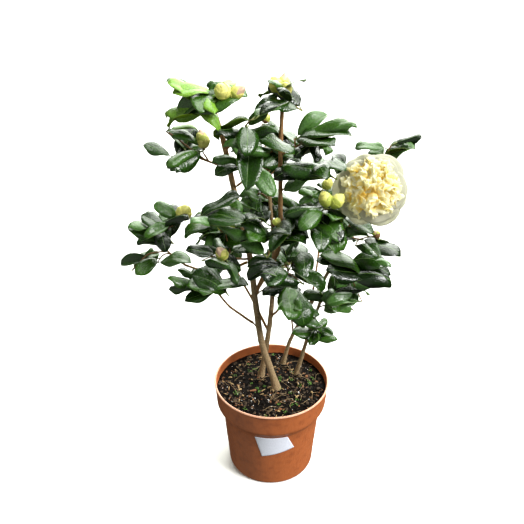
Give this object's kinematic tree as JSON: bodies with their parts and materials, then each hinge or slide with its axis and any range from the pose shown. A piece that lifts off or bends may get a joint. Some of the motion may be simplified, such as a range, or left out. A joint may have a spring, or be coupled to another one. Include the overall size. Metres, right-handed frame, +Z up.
{
  "type": "potted camellia shrub",
  "caption": "Young evergreen camellia shrub in a round terracotta-coloured nursery pot, with upright stems, glossy foliage, closed buds and one open double flower.",
  "frame": {"origin": "centre of the pot's flat underside", "axes": "+Z up along the pot's axis, -Y towards the side that the open flower faces, +X to the right seen from there"},
  "size_m": [0.405, 0.242, 0.677],
  "materials": {
    "pot_plastic": "injection moulded terracotta-coloured plastic, satin, paler along the lip",
    "label_paper": "bare white sticker",
    "compost": "damp dark compost with bark chips, pale grit and fine roots",
    "bark": "grey-brown bark with fine ridges, lit tan",
    "green_wood": "smooth red-brown young wood",
    "leaves": "leathery dark green leaves, glossy above, dull yellow-green below",
    "young_leaves": "fresh yellow-green leaves and scaly buds",
    "petals": "soft cream petals, yellow in the crumpled heart"
  },
  "bodies": {
    "root": {"pot": "pot_plastic", "pot_label": "label_paper", "stem_main": "bark", "stem_second": "bark", "stem_third": "bark", "stem_short": "bark", "stem_centre": "green_wood", "bough_far_left": "green_wood", "bough_low_left": "green_wood", "bough_left_front": "green_wood", "bough_left": "green_wood", "bough_upper_middle": "green_wood", "bough_upper_left": "green_wood", "bough_top_middle": "green_wood", "bough_lower_front": "green_wood", "bough_front": "green_wood", "bough_right": "green_wood", "bough_upper_right": "green_wood", "bough_high_right": "green_wood", "bough_back_left": "green_wood", "bough_lower_centre": "green_wood", "bough_back_right": "green_wood", "bough_back_low": "green_wood", "bough_lower_right": "green_wood", "bough_under_bloom": "green_wood", "bough_behind_bloom": "green_wood", "root_ball": "compost", "bloom_open": "petals", "foliage_top_left": "young_leaves", "foliage_top_middle": "leaves", "foliage_top_centre": "young_leaves", "foliage_upper_left": "leaves", "foliage_upper_middle": "leaves", "foliage_upper_right": "leaves", "foliage_right_shoulder": "leaves", "foliage_far_left": "leaves", "foliage_left_tip": "leaves", "foliage_left": "leaves", "foliage_left_front": "leaves", "foliage_lower_left": "leaves", "foliage_centre": "leaves", "foliage_front": "leaves", "foliage_right": "leaves", "foliage_under_bloom": "leaves", "foliage_behind_bloom": "leaves", "foliage_lower_right": "leaves", "foliage_low_right": "leaves", "foliage_lower_centre": "leaves", "foliage_lowest": "leaves", "foliage_back_left": "leaves", "foliage_back_centre": "leaves", "foliage_back_middle": "leaves", "foliage_back_right": "leaves", "foliage_back_low": "leaves"}
  },
  "joints": []
}
